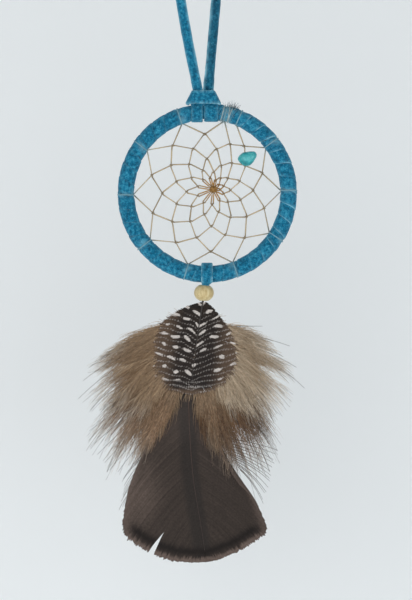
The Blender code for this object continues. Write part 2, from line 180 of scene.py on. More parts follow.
def grid_quads(rows, columns, close_columns=False):
    """Quads between neighbouring points of a rows by columns grid."""
    across = columns if close_columns else columns - 1
    i, j = np.meshgrid(np.arange(rows - 1), np.arange(across), indexing="ij")
    k = (j + 1) % columns
    return np.stack([i * columns + j, i * columns + k, (i + 1) * columns + k,
                     (i + 1) * columns + j], -1).reshape(-1, 4)


def closing_quads(rows, columns):
    """Quads that join the last row of a grid with closed columns to its first row."""
    last = (rows - 1) * columns
    return [[last + k, last + (k + 1) % columns, (k + 1) % columns, k] for k in range(columns)]


def place_piece(piece, body, slot, *nodes):
    """Ride a piece on its body and let it stand for CAD nodes, which it hides. The slot is not used.
    """
    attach(piece, body)
    if nodes:
        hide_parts(*nodes)
    return piece


def carried_frames(points):
    """Two unit vectors across a path at each point, carried along it without twisting."""
    tangents = unit(np.gradient(points, axis=0))
    start = BACK if abs(tangents[0][1]) < 0.9 else RIGHT
    normals = np.zeros_like(points)
    normal = start - tangents[0] * np.dot(start, tangents[0])
    for i, tangent in enumerate(tangents):
        normal = normal - tangent * np.dot(normal, tangent)
        normal = normal / max(np.linalg.norm(normal), 1e-9)
        normals[i] = normal
    return normals, np.cross(tangents, normals)


def tube_piece(name, points, radii, material, tint, sides=6):
    """One tube along a path in millimetres, closed at its ends, in one tint or one a point."""
    points = np.asarray(points, float)
    radii = np.broadcast_to(np.asarray(radii, float), (len(points),)).copy()
    radii[0] = radii[-1] = 0.02
    first, second = carried_frames(points)
    angles = np.linspace(0, 2 * math.pi, sides, endpoint=False)
    ring = (first[:, None] * np.cos(angles)[None, :, None]
            + second[:, None] * np.sin(angles)[None, :, None])
    verts = points[:, None] + ring * radii[:, None, None]
    colours = np.repeat(np.broadcast_to(tint, points.shape)[:, None], sides, 1)
    return make_object(name, verts, grid_quads(len(points), sides, True), material, colours)


def strands_piece(name, material, lines, widths, colours, sides=3, roll=0.0):
    """Many strands at once: lines (count, points, 3), with widths and colours that spread to fit.

    With two sides a strand is a flat ribbon, turned by roll (one for all, or one for each strand)
    out of the object's plane."""
    count, length = lines.shape[:2]
    widths = np.broadcast_to(widths, (count, length))
    tangents = unit(np.gradient(lines, axis=1))
    across = unit(np.cross(tangents, BACK))
    up = np.cross(across, tangents)
    angles = np.broadcast_to(roll, (count,))[:, None] + np.arange(sides) * 2 * math.pi / sides
    angles = angles[:, None, :, None]
    ring = across[:, :, None] * np.cos(angles) + up[:, :, None] * np.sin(angles)
    verts = lines[:, :, None] + ring * widths[:, :, None, None] / 2
    one = grid_quads(length, sides, sides > 2)
    quads = (one[None] + np.arange(count)[:, None, None] * length * sides).reshape(-1, 4)
    tint = np.repeat(np.broadcast_to(colours, lines.shape)[:, :, None], sides, 2)
    return make_object(name, verts, quads, material, tint)


# ---------------------------------------------------------------------------- materials

class Nodes:
    """A small writer of shader nodes for one material."""

    def __init__(self, name, roughness, **sockets):
        self.material = bpy.data.materials.new(name)
        self.material.use_nodes = True
        self.tree = self.material.node_tree
        self.shader = self.tree.nodes["Principled BSDF"]
        self.shader.inputs["Roughness"].default_value = roughness
        for socket, value in sockets.items():
            self.shader.inputs[socket.replace("_", " ")].default_value = value
        self.place = self.new("ShaderNodeTexCoord").outputs["Object"]

    def new(self, kind, **settings):
        node = self.tree.nodes.new(kind)
        for key, value in settings.items():
            setattr(node, key, value)
        return node

    def link(self, source, target):
        self.tree.links.new(source, target)

    def noise(self, scale, detail=4.0, roughness=0.55, stretch=None):
        """Noise with scale features a metre, which may be stretched along the axes."""
        node = self.new("ShaderNodeTexNoise")
        node.inputs["Scale"].default_value = scale
        node.inputs["Detail"].default_value = detail
        node.inputs["Roughness"].default_value = roughness
        place = self.place
        if stretch:
            mapping = self.new("ShaderNodeMapping")
            mapping.inputs["Scale"].default_value = stretch
            self.link(self.place, mapping.inputs["Vector"])
            place = mapping.outputs["Vector"]
        self.link(place, node.inputs["Vector"])
        return node.outputs["Fac"]

    def ramp(self, factor, *stops):
        """A colour ramp of (position, colour) stops."""
        node = self.new("ShaderNodeValToRGB")
        while len(node.color_ramp.elements) < len(stops):
            node.color_ramp.elements.new(0.5)
        for element, (position, colour) in zip(node.color_ramp.elements, stops):
            element.position = position
            element.color = (*colour, 1.0)
        self.link(factor, node.inputs["Fac"])
        return node.outputs["Color"]

    def mix(self, factor, a, b, blend="MIX"):
        node = self.new("ShaderNodeMix", data_type="RGBA", blend_type=blend)
        for value, socket in ((factor, node.inputs["Factor"]), (a, node.inputs["A"]),
                              (b, node.inputs["B"])):
            if isinstance(value, bpy.types.NodeSocket):
                self.link(value, socket)
            elif isinstance(value, (int, float)):
                socket.default_value = value
            else:
                socket.default_value = (*value, 1.0)
        return node.outputs["Result"]

    def attribute(self, name, output="Color"):
        return self.new("ShaderNodeAttribute", attribute_name=name).outputs[output]

    def bump(self, height, strength, distance):
        node = self.new("ShaderNodeBump")
        node.inputs["Strength"].default_value = strength
        node.inputs["Distance"].default_value = distance
        self.link(height, node.inputs["Height"])
        self.link(node.outputs["Normal"], self.shader.inputs["Normal"])

    def colour(self, source):
        self.link(source, self.shader.inputs["Base Color"])
        return self.material


GREY_LOW = (0.72, 0.72, 0.72)
GREY_HIGH = (1.15, 1.15, 1.15)


def suede_material(name, dark, body, light, pale):
    """Napped suede: mottled dye, raised fibres, and pale cut edges where attribute edge is 1."""
    m = Nodes(name, 0.95, Specular_IOR_Level=0.15, Sheen_Weight=0.35, Sheen_Roughness=0.5,
              Sheen_Tint=(0.45, 0.80, 0.95, 1.0))
    mottled = m.ramp(m.noise(900.0, 6.0, 0.66), (0.33, dark), (0.50, body), (0.70, light))
    fibres = m.ramp(m.noise(4200.0, 3.0, 0.7), (0.40, GREY_LOW), (0.62, GREY_HIGH))
    napped = m.mix(1.0, mottled, fibres, "MULTIPLY")
    speckle = m.ramp(m.noise(3000.0, 2.0, 0.5), (0.63, (0, 0, 0)), (0.74, (0.30, 0.30, 0.30)))
    flecked = m.mix(speckle, napped, pale)
    m.bump(m.noise(3600.0, 5.0, 0.7), 0.55, 0.00018)
    return m.colour(m.mix(m.attribute("edge", "Fac"), flecked, pale))


def tinted_material(name, roughness, grain_scale, grain_bump, **sockets):
    """A material that takes its colour from attribute tint, with a fine grain over it."""
    m = Nodes(name, roughness, **sockets)
    grain = m.noise(grain_scale, 4.0, 0.6)
    shade = m.ramp(grain, (0.30, GREY_LOW), (0.70, GREY_HIGH))
    m.bump(grain, grain_bump, 0.0001)
    return m.colour(m.mix(1.0, m.attribute("tint"), shade, "MULTIPLY"))


def steel_material():
    m = Nodes("hoop_steel", 0.35, Metallic=1.0)
    m.bump(m.noise(900.0, 3.0), 0.2, 0.0001)
    return m.colour(m.ramp(m.noise(300.0), (0.3, (0.42, 0.42, 0.43)), (0.7, (0.62, 0.62, 0.64))))


def stone_material():
    """Tumbled turquoise: patchy blue-green with a paler streak, thin brown veins and a polish."""
    m = Nodes("turquoise_stone", 0.34, Coat_Weight=0.3, Coat_Roughness=0.18)
    clouds = m.ramp(m.noise(420.0, 5.0, 0.6), (0.30, linear(14, 118, 128)),
                    (0.52, linear(36, 168, 176)), (0.75, linear(120, 214, 212)))
    veins = m.ramp(m.noise(650.0, 8.0, 0.8, (1.0, 1.0, 2.4)), (0.485, (1, 1, 1)),
                   (0.50, (0.30, 0.26, 0.20)), (0.515, (1, 1, 1)))
    m.bump(m.noise(1500.0), 0.08, 0.0001)
    return m.colour(m.mix(0.55, clouds, m.mix(1.0, clouds, veins, "MULTIPLY")))


def wood_material():
    """Pale, unvarnished wood with its grain along the bead's hole."""
    m = Nodes("bead_wood", 0.5, Specular_IOR_Level=0.35)
    rings = m.ramp(m.noise(900.0, 5.0, 0.6, (1.0, 1.0, 0.12)), (0.30, linear(186, 160, 108)),
                   (0.55, linear(216, 198, 150)), (0.80, linear(232, 218, 176)))
    pores = m.ramp(m.noise(5200.0, 2.0, 0.5, (1.0, 1.0, 0.08)), (0.30, (0.66, 0.60, 0.52)),
                   (0.42, (1, 1, 1)))
    m.bump(m.noise(2600.0, 3.0, 0.6, (1.0, 1.0, 0.1)), 0.25, 0.0001)
    return m.colour(m.mix(1.0, rings, pores, "MULTIPLY"))


# ---------------------------------------------------------------------------- hoop and wrap

WRAP_TURNS = 36
WRAP_START_DEG = 18.5
STEPS_PER_TURN = 30
ANCHORS_DEG = (23.2, 52.3, 88.4, 122.9, 160.0, 195.3, 230.7, 268.8, 305.5, 340.2, 373.2)
EXTRA_TURNS_DEG = (11.6, 14.6, 16.6)
WRAP_INNER = 1.8
WRAP_OUTER = WRAP_R - 0.04
WRAP_LAP = 1.045
PINCH_DEG = 0.95
PINCH_DEPTH = 0.34
HITCH_MIDDLE_DEG = -2.2
HITCH_DEPTH = 0.32
PALE_MIDDLE_DEG = 76.0


def around_hoop(ring, tube, radius):
    """Points round the wire: ring angle clockwise from the top; tube angle from the front (0)
    over the outer side (quarter turn) to the back."""
    reach = HOOP_R + radius * np.sin(tube)
    return np.stack([reach * np.sin(ring), -radius * np.cos(tube), reach * np.cos(ring)], -1)


def degrees_from(middle, ring_deg):
    """How far each ring angle is from middle, the short way round, without a sign."""
    return np.abs((ring_deg - middle + 180.0) % 360.0 - 180.0)


def pinch(ring_deg):
    """How much the thread pinches the wrap at each ring angle, from 0 to 1."""
    total = np.zeros_like(ring_deg)
    for anchor in ANCHORS_DEG + EXTRA_TURNS_DEG:
        total = np.maximum(total, np.exp(-(degrees_from(anchor, ring_deg) / PINCH_DEG) ** 2))
    return total


def edge_strength(ring_deg):
    """The pale cut edges show from the upper right to the lower right, and little elsewhere."""
    return 0.16 + 0.62 * fade(38.0, 75.0, degrees_from(PALE_MIDDLE_DEG, ring_deg))


def make_wrap(suede):
    """The suede lace wound round the wire, as one long band with rounded, cut edges. Each turn
    laps over the one before, and both ends are at the back."""
    rng = RandomState(3)
    count = WRAP_TURNS * STEPS_PER_TURN + 1
    turn = (np.arange(count) / STEPS_PER_TURN - 0.5)[:, None]
    across = np.array([-1.0, -1.0, -0.97, -0.84, -0.45, 0.45, 0.84, 0.97, 1.0, 1.0])
    height = np.array([0.0, 0.55, 0.82, 0.96, 1.0, 1.0, 0.97, 0.86, 0.60, 0.0])
    cut = np.array([0.0, 0.5, 0.35, 0.0, 0, 0, 0.15, 0.85, 1.0, 0.0])
    pitch = 360.0 / WRAP_TURNS
    width = pitch * (WRAP_LAP + 0.012 * smooth_noise(rng, count, 9))[:, None]
    ring_deg = WRAP_START_DEG + pitch * (turn + 0.5) + width / 2 * across
    ring_deg = ring_deg + 0.35 * smooth_noise(rng, count, 12)[:, None]
    thick = (WRAP_OUTER - WRAP_INNER) * (1.0 + 0.03 * smooth_noise(rng, count, 7))[:, None]
    radius = WRAP_INNER + height * thick + 0.07 * across * height
    radius = radius + 0.03 * rng.normal(size=radius.shape) * (height > 0.5)
    squeezed = fade(8.0, 11.0, degrees_from(HITCH_MIDDLE_DEG, ring_deg))
    radius = radius - (PINCH_DEPTH * pinch(ring_deg) + HITCH_DEPTH * squeezed) * height
    verts = around_hoop(np.radians(ring_deg), 2 * math.pi * turn + 0 * across, radius)
    ragged = np.clip(0.75 + 0.5 * smooth_noise(rng, count, 3), 0.1, 1.3)[:, None]
    edge = np.maximum(cut * edge_strength(ring_deg) * ragged, 0.42 * pinch(ring_deg) * height)
    columns = len(across)
    caps = [[k, k + 1, columns - 2 - k, columns - 1 - k] for k in range(4)]
    last = (count - 1) * columns
    caps += [[last + c for c in reversed(cap)] for cap in caps]
    quads = np.vstack([grid_quads(count, columns, True), caps])
    wrap = make_object("suede_wrap_lace", verts, quads, suede, edge=np.clip(edge, 0, 1))
    place_piece(wrap, "hoop", "suede", "suede_wrap")


# ---------------------------------------------------------------------------- web

WEB_CENTRE = np.array([2.15, 0.0, 1.27])
ANCHOR_R = 25.75
FIRST_PULL = 3.9
PULL = 3.55
CORE_KEEP = 0.64
CENTRE_R = 0.85
WEB_ROUNDS = 6
THREAD_R = 0.235
SPAN_BEHIND = 0.12
CENTRE_TURNS = 70
BLUISH_FROM, BLUISH_TO = 25.2, 26.4
GOLDEN_TO, PLAIN_FROM = 1.5, 7.0
THREAD_PLAIN = linear(188, 168, 136)
THREAD_GOLDEN = linear(186, 140, 76)
THREAD_BLUISH = linear(120, 168, 184)
THREAD_PALE = linear(170, 190, 192)


def web_knots():
    """The web's knots in tying order: each hangs on the middle of a span of the round before."""
    angles = np.radians(ANCHORS_DEG)
    knots = [np.array([math.sin(a), 0.0, math.cos(a)]) * ANCHOR_R for a in angles]
    spans = len(ANCHORS_DEG)
    for j in range(spans, spans * (WEB_ROUNDS + 1)):
        middle = (knots[j - spans] + knots[j - spans + 1]) / 2
        inwards = WEB_CENTRE - middle
        distance = np.linalg.norm(inwards)
        pull = FIRST_PULL if j < 2 * spans else PULL
        pull = min(pull, distance * (1 - CORE_KEEP))
        if j >= spans * WEB_ROUNDS:
            pull = distance - CENTRE_R
        knots.append(middle + inwards / distance * pull)
    return knots


def hoop_turn_points(degrees, shift_deg, steps=22):
    """A turn of thread round the wrapped hoop, from its inner side over the front and back."""
    ring = np.radians(degrees + np.linspace(-shift_deg, shift_deg, steps))
    tube = np.linspace(-0.55 * math.pi, 1.45 * math.pi, steps)
    return around_hoop(ring, tube, WRAP_R - PINCH_DEPTH + THREAD_R)


def half_hitch_points(knot, before, after, steps=9):
    """The thread's loop round an older span, whose ends were the knots before and after."""
    along = unit(after - before)
    inward = unit(WEB_CENTRE - knot)
    inward = unit(inward - along * np.dot(inward, along))
    points = []
    for turn in np.linspace(-0.2, 1.15, steps):
        angle = 2 * math.pi * turn
        out = inward * math.cos(angle) - BACK * math.sin(angle)
        points.append(knot + out * 0.36 + along * (turn - 0.5) * 0.62)
    return points


def web_route(knots):
    """The thread's points: round the hoop, round each older span, and the ball in the centre."""
    spans = len(ANCHORS_DEG)
    points = []
    for j, knot in enumerate(knots):
        if j < spans:
            points += list(hoop_turn_points(ANCHORS_DEG[j], 0.55))
        else:
            points += half_hitch_points(knot, knots[j - spans], knots[j - spans + 1])
        if j + spans < len(knots):
            points.append(knots[j + spans] + BACK * SPAN_BEHIND)
    for k in range(CENTRE_TURNS):
        angle = 2.4 * k + 0.5 * math.sin(1.3 * k)
        ball = 1.45 - 0.014 * k + 0.22 * math.sin(2.9 * k)
        points.append(WEB_CENTRE + ball * np.array([math.sin(angle), math.cos(1.7 * angle) - 0.3,
                                                    math.cos(angle) * 0.9]))
    points = np.array(points)
    steps = (points[1:] - points[:-1])[:, None] * np.array([[0.0], [0.34], [0.67]])
    return (points[:-1, None] + steps).reshape(-1, 3)


def web_tint(rng, route, knots):
    """The thread's colour: golden near the centre, bluish on the hoop, darker at the knots."""
    across = route[:, [0, 2]]
    on_hoop = smoothstep(BLUISH_FROM, BLUISH_TO, np.linalg.norm(across, axis=1))[:, None]
    golden = fade(GOLDEN_TO, PLAIN_FROM, np.linalg.norm(route - WEB_CENTRE, axis=1))[:, None]
    tint = THREAD_PLAIN * (1 + 0.16 * smooth_noise(rng, len(route), 5))[:, None]
    tint = toward(toward(tint, THREAD_GOLDEN, golden), THREAD_BLUISH, on_hoop)
    tied = np.array(knots)[len(ANCHORS_DEG):, [0, 2]]
    near_knot = np.min(np.linalg.norm(across[:, None] - tied, axis=2), axis=1)[:, None]
    return tint * (1 - 0.38 * np.exp(-(near_knot / 0.6) ** 2) * (1 - on_hoop))


def make_web(thread):
    """One continuous waxed thread: round the hoop, then round after round to the centre."""
    rng = RandomState(11)
    knots = web_knots()
    route = web_route(knots)
    tint = web_tint(rng, route, knots)
    radii = THREAD_R * (1 + 0.10 * smooth_noise(rng, len(route), 4))
    web = tube_piece("web_thread", route, radii, thread, tint, sides=7)
    turns = [f"web_hitch_{n:02d}" for n in range(1, len(ANCHORS_DEG) + 1)]
    place_piece(web, "hoop", "thread", "web_net", "web_centre_knot", *turns)


def make_start_knot(thread):
    """The whitish turns beside the top, where the thread begins."""
    for number, (degrees, shift) in enumerate(zip(EXTRA_TURNS_DEG, (1.3, -1.6, 0.9))):
        line = hoop_turn_points(degrees, shift, 40)
        turn = tube_piece(f"thread_start_turn_{number + 1}", line, 0.19, thread, THREAD_PALE)
        place_piece(turn, "hoop", "thread", *(["web_start_knot"] if number == 0 else []))


def make_frayed_end(thread):
    """The loose fibres of the lace and the thread beside the starting knot."""
    rng = RandomState(5)
    count = 150
    t = np.linspace(0, 1, 7)[:, None]
    fibres = []
    for k in range(count):
        ring = math.radians(rng.uniform(10.0, 19.0) if k % 3 else rng.uniform(13.0, 21.0))
        tube = rng.uniform(-0.45, 0.55) * math.pi if k % 3 else rng.uniform(0.25, 0.6) * math.pi
        start = around_hoop(ring, tube, WRAP_R - 0.25)
        out = unit(around_hoop(ring, tube, WRAP_R + 1.0) - start)
        swing = rng.normal(size=3) * 0.5
        fibres.append(start + (out * t + swing * t * t) * rng.uniform(0.6, 1.9))
    dark = (np.arange(count) % 3 == 0)[:, None, None]
    colours = np.where(dark, linear(22, 60, 78), THREAD_PALE)
    widths = 0.12 * np.linspace(1.0, 0.4, 7)
    frayed = strands_piece("frayed_lace_end", thread, np.array(fibres), widths, colours)
    place_piece(frayed, "hoop", "suede")


CHIP_OUTLINE = ((0, 3.1), (22, 3.65), (41, 3.6), (60, 2.95), (90, 2.45), (146, 2.55), (184, 3.3),
                (212, 3.0), (270, 2.5), (315, 2.65), (351, 2.9))
CHIP_SHIFT = 0.85


def make_chip(stone):
    """The stone chip: a drilled pebble, round on the left and angular at its upper right."""
    centre, half = cad_box("turquoise_chip")
    centre = centre + CHIP_SHIFT * RIGHT
    rows, columns = 48, 72
    polar = np.linspace(0.0, math.pi, rows)[:, None]
    around = np.arange(columns) * 360.0 / columns
    angles, reaches = np.array(CHIP_OUTLINE).T
    reach = np.interp(around, angles, reaches, period=360.0)
    reach = (np.roll(reach, 1) + 2 * reach + np.roll(reach, -1)) / 4
    around = np.radians(around)
    spread = np.sin(polar) ** 0.85 * reach * (1 + 0.03 * np.sin(3 * around) * polar)
    verts = np.stack([spread * np.cos(around), -half[1] * np.cos(polar) + 0 * spread,
                      spread * np.sin(around)], -1)
    chip = make_object("turquoise_pebble", verts + centre, grid_quads(rows, columns, True), stone)
    place_piece(chip, "chip", "turquoise", "turquoise_chip")


# ---------------------------------------------------------------------------- laces

def lace_piece(name, path, sides, width, thickness, suede, rng, edge=0.8, closed=False):
    """A suede lace along a path, flat across the sides vectors, with rounded cut edges."""
    path = np.asarray(path, float)
    sides = unit(np.broadcast_to(sides, path.shape))
    normals = unit(np.cross(unit(np.gradient(path, axis=0)), sides))
    face = np.array([-1, -0.98, -0.86, -0.5, 0, 0.5, 0.86, 0.98])
    rise = np.array([0, 0.55, 0.94, 1.0, 1.0, 1.0, 0.94, 0.55])
    across, lift = np.concatenate([face, -face]), np.concatenate([rise, -rise])
    cut = np.tile([1, 0.9, 0.3, 0, 0, 0, 0.3, 0.9], 2)
    count, n = len(path), len(across)
    width = np.broadcast_to(width, (count,)) * (1 + 0.02 * smooth_noise(rng, count, 4))
    cross = across * width[:, None] / 2 + 0.02 * rng.normal(size=(count, n))
    height = lift * thickness / 2 + 0.015 * rng.normal(size=(count, n))
    verts = (path[:, None] + sides[:, None] * cross[..., None]
             + normals[:, None] * height[..., None])
    ragged = np.clip(0.8 + 0.35 * smooth_noise(rng, count, 3), 0.2, 1.2)[:, None]
    if closed:
        ends = closing_quads(count, n)
    else:
        ends = [[k, k + 1, n - 1 - k, (n - k) % n] for k in range(n // 2)]
        ends += [[(count - 1) * n + c for c in reversed(cap)] for cap in ends]
    return make_object(name, verts, np.vstack([grid_quads(count, n, True), ends]), suede,
                       edge=np.clip(cut * edge * ragged, 0, 1))


STRAND_Y = -3.0
LACE_THICK = 1.15
HITCH_THICK = 0.9
HITCH_MIDDLE = -1.3
LOOP_PATHS = {
    "left": ((-3.25, 33.4), (-3.45, 36.6), (-6.55, 52), (-9.4, 68.1), (-11.6, 83),
             (-11.9, 94), (-9.6, 103), (-6.2, 110.8), (-4.9, 113.6)),
    "right": ((0.35, 33.4), (0.4, 36.6), (1.7, 52), (3.1, 68.1), (4.4, 83), (4, 94),
              (1.3, 103), (-1.8, 110.8), (-3, 113.6)),
}
STRAND_WIDTH = {"left": 3.55, "right": 3.45}
STRAND_TURN_DEG = {"left": 10.0, "right": -34.0}


def make_loop(suedes):
    """The two strands of the hanging lace, its knot and its two loose ends."""
    knot = make_loop_knot(suedes["left"])
    tails = [make_tail(side, suedes["left"]) for side in LOOP_PATHS]
    for number, (side, plane) in enumerate(LOOP_PATHS.items()):
        route = even_curve([(x, STRAND_Y, z) for x, z in plane], 120)
        turned = math.radians(STRAND_TURN_DEG[side])
        grown = smoothstep(34.0, 44.0, route[:, 2])[:, None] * turned
        sides = flat_sides(route) * np.cos(grown) + BACK * np.sin(grown)
        # The right strand takes the darker suede copy, which is painted shade.
        strand = lace_piece(f"loop_lace_{side}", route, sides,
                            STRAND_WIDTH[side] / math.cos(turned * 0.7), LACE_THICK,
                            suedes[side], RandomState(20 + number))
        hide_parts(f"loop_strand_{side}")
        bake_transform(strand)


def make_loop_knot(suede):
    """The overhand knot that closes the loop: one lace wound through itself."""
    centre, _ = cad_box("loop_knot")
    t = np.linspace(0, 2 * math.pi, 150, endpoint=False)
    turns = np.stack([np.sin(t) + 2 * np.sin(2 * t), -1.15 * np.sin(3 * t),
                      np.cos(t) - 2 * np.cos(2 * t)], -1)
    path = centre + turns * np.array([1.10, 1.0, 0.92])
    sides = np.cross(unit(np.gradient(path, axis=0)), unit(path - centre))
    knot = lace_piece("loop_knot_lace", path, sides, 2.7, 1.7, suede, RandomState(31),
                      edge=0.55, closed=True)
    return place_piece(knot, "hanging_loop", "suede", "loop_knot")


def make_tail(side, suede):
    """A loose end of the hanging lace above the knot."""
    centre, half = cad_box(f"loop_tail_{side}")
    out, seed = (-1.0, 42) if side == "left" else (1.0, 41)
    points = [centre + (out * x * half[0] * 0.7, 0.0, z * half[2] * 0.98)
              for x, z in ((-0.75, -1.15), (-0.5, -0.4), (0.0, 0.3), (0.75, 1.0))]
    route = even_curve(points, 30)
    tail = lace_piece(f"loop_end_{side}", route, flat_sides(route), 3.5, LACE_THICK, suede,
                      RandomState(seed))
    return place_piece(tail, "hanging_loop", "suede", f"loop_tail_{side}")


def make_hitch(suede):
    """The lark's head: two turns round the hoop's top and the crossbar in front of the strands.
    Under the crossbar the turns rise, lean together and spread, each by its own amount."""
    turn_radius = WRAP_R - HITCH_DEPTH + HITCH_THICK / 2
    turns = (("left", -3.6, 4.0, 1.3), ("right", 1.4, 4.95, 0.3))
    tube_deg = np.linspace(62.0, -268.0, 90)
    rise = smoothstep(30.0, 62.0, tube_deg)
    for number, (side, x, width, spread) in enumerate(turns):
        path = around_hoop(math.asin(x / HOOP_R), np.radians(tube_deg), turn_radius)
        path[:, 0] = x + 0.38 * (HITCH_MIDDLE - x) * rise
        path[:, 2] += 3.2 * rise
        widths = width + spread * smoothstep(33.0, 42.0, tube_deg)
        piece = lace_piece(f"hitch_lace_{side}", path, RIGHT, widths, HITCH_THICK, suede,
                           RandomState(50 + number), edge=0.35)
        place_piece(piece, "loop_hitch", "suede", f"hitch_turn_{side}")
    plan = ((-5.9, -0.6, 33.3), (-6.1, -2.8, 33.45), (-5.3, -4.4, 33.6), (-3.6, -4.7, 33.6),
            (-1.3, -4.75, 33.6), (1.0, -4.7, 33.6), (2.5, -4.4, 33.6), (3.3, -2.8, 33.45),
            (3.1, -0.6, 33.3))
    route = even_curve(plan, 90)
    lean = (route[:, :1] + 1.4) / 4.7
    sides = np.hstack([0.50 * lean * np.abs(lean), 0 * lean, -np.ones_like(lean)])
    crossbar = lace_piece("hitch_bight", route, sides, 4.7 + 0.6 * lean[:, 0] ** 2, LACE_THICK,
                          suede, RandomState(53), edge=0.9)
    place_piece(crossbar, "loop_hitch", "suede", "hitch_crossbar")


def make_drop_lace(suede):
    """The short lace folded over the bottom of the hoop, whose two ends go into the bead."""
    radius = WRAP_R + LACE_THICK / 2 + 0.02
    tube = np.radians(np.linspace(48.0, -228.0, 60))
    arc = around_hoop(math.pi + 0.15 / HOOP_R, tube, radius)
    down = np.array([[-1.15, -0.75, -35.8], [-1.1, -0.85, -33.8], [-0.85, -1.05, -32.7]])
    up = down[::-1] * np.array([1.0, -1.0, 1.0])
    route = even_curve(np.vstack([down, arc[::4], arc[-1:], up]), 130)
    width = 2.1 + 1.95 * smoothstep(-32.9, -31.0, route[:, 2])
    lace = lace_piece("drop_lace_fold", route, RIGHT, width, 1.05, suede, RandomState(61),
                      edge=1.0)
    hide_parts("drop_lace", "lace_end")
    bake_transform(lace)


def make_bead(wood):
    """The turned wooden bead, with a soft rim round its hole."""
    centre, _ = cad_box("wooden_bead")
    radius, half, hole, rim = 3.5, 3.1, 1.42, 0.25
    start = math.acos(hole / radius)
    angles = np.linspace(start, -start, 40)
    z = half * np.sin(angles)
    inner = np.linspace(z[-1] + rim, z[0] - rim, 8)
    r = np.concatenate([radius * np.cos(angles), np.full(8, hole - 0.12)])
    z = np.concatenate([z, inner])
    turn = np.linspace(0, 2 * math.pi, 72, endpoint=False)[:, None]
    wobble = 1 + 0.008 * np.sin(3 * turn) + 0.006 * np.sin(5 * turn + 1.0)
    verts = np.stack([r * np.cos(turn) * wobble, r * np.sin(turn) * wobble, z + 0 * turn], -1)
    quads = np.vstack([grid_quads(72, len(r), True), closing_quads(72, len(r))])
    bead = make_object("turned_bead", verts + centre, quads[:, ::-1], wood)
    place_piece(bead, "tassel", "wood", "wooden_bead")


# ---------------------------------------------------------------------------- feathers

GUINEA_SHAFT = ((-1.4, -0.65, -37.2), (-2, -0.85, -41), (-3.4, -0.95, -50),
                (-5.2, -0.95, -64), (-5.4, -0.95, -68.5))
TURKEY_SHAFT = ((-1.4, 0.65, -37.2), (-2.8, 1, -45), (-5.6, 1.3, -60), (-6.6, 1.3, -73),
                (-5.2, 1.3, -98.4), (-1.8, 1.3, -120), (-0.6, 1.3, -129))
GUINEA_EDGE = {
    -1: ((-2.6, -38.6), (-6, -39.6), (-9.9, -41.2), (-15.4, -44.9), (-18.4, -49.2),
         (-19, -55), (-18.8, -61), (-17.8, -67), (-13.5, -69.6), (-9, -70.8),
         (-5.6, -71.2)),
    1: ((-0.2, -38.6), (1.8, -40.3), (4.6, -43.6), (7, -46.8), (9.6, -51.6), (10.7, -56.8),
        (9.9, -62), (7.4, -66.2), (4.4, -68.4), (0.5, -70.2), (-5.2, -71.2)),
}
TURKEY_EDGE = {
    -1: ((-19.5, -86), (-23.6, -94.4), (-27.2, -103), (-29.2, -112.5), (-29.7, -119),
         (-28.2, -121.8), (-24, -124.7), (-20, -127.2), (-15, -129.2), (-9.5, -130.2),
         (-4.5, -130.4), (-0.7, -130.3)),
    1: ((2.5, -88), (9.9, -100.7), (14.2, -105.6), (17.4, -109.8), (20.2, -116.4),
        (20.7, -119.6), (18.2, -122), (14, -124.7), (9.4, -127.2), (5, -129),
        (1.6, -130), (-0.5, -130.3)),
}
SPOTS_TOP = -38.0
ROW_PITCH = 3.5
DASH_PITCH_LEFT, DASH_PITCH_RIGHT = 4.3, 5.2
DASHES_END = (27.5, 28.5)
DOT_PITCH = 0.92
TICK_PITCH = 0.80
TICKS_DEPTH = 30.4
VANE_GAP = 1.25
VANE_GAP_AT = 0.715
BAND_TO_TIP, BAND_SPREAD = 3.8, 1.6
FRINGE_TO_TIP = (0.9, 2.1)
GUINEA_DARK = linear(34, 29, 28)
GUINEA_BROWN = linear(98, 80, 66)
SPOT = linear(216, 208, 202)
TURKEY_DARK = linear(60, 51, 46)
TURKEY_SPINE = linear(48, 42, 39)
TURKEY_BAND = linear(30, 24, 22)
TURKEY_FRINGE = linear(116, 100, 92)
SIDES = ((-1, "left"), (1, "right"))


def shaft_middle(points, z):
    """Where a feather's shaft is, from side to side, at each height z."""
    points = np.asarray(points)
    return np.interp(-z, -points[:, 2], points[:, 0])


def point_along(points, fraction):
    """Points at fractions (0 to 1) of a smooth curve's length."""
    dense = even_curve(points, 400)
    at = np.clip(np.asarray(fraction), 0, 1) * (len(dense) - 1)
    return points_between(at, np.arange(len(dense)), dense)


def bend_between(roots, tips, control, steps):
    """Curves from roots to tips, pulled towards control points."""
    t = np.linspace(0, 1, steps)[None, :, None]
    return ((1 - t) ** 2 * roots[:, None] + 2 * t * (1 - t) * control[:, None]
            + t ** 2 * tips[:, None])


def vane_barbs(rng, shaft, edge, count, steps, root_span, root_power, droop, y_tip, ragged):
    """The barbs of one vane, swept from the shaft to the vane's edge, with each barb's place
    along the shaft and each point's place along its barb, from 0 to 1."""
    s = (np.arange(count) + rng.uniform(-0.3, 0.3, count)) / (count - 1)
    s = np.clip(s, 0, 1)
    roots = point_along(shaft, root_span[0] + (root_span[1] - root_span[0]) * s ** root_power)
    plane = point_along([(x, 0.0, z) for x, z in edge], s)
    reach = (1 + rng.normal(size=count) * ragged)[:, None]
    tips = roots + (plane - roots) * reach
    tips[:, 1] = y_tip + 0.10 * rng.normal(size=count)
    control = roots + (tips - roots) * np.array([droop[0], 0.4, droop[1]])
    return bend_between(roots, tips, control, steps), s[:, None], np.linspace(0, 1, steps)[None]


def from_middle(value, pitch):
    """How far each value is from the middle of its cell, for cells one pitch wide."""
    return np.abs((value / pitch) % 1.0 - 0.5) * pitch


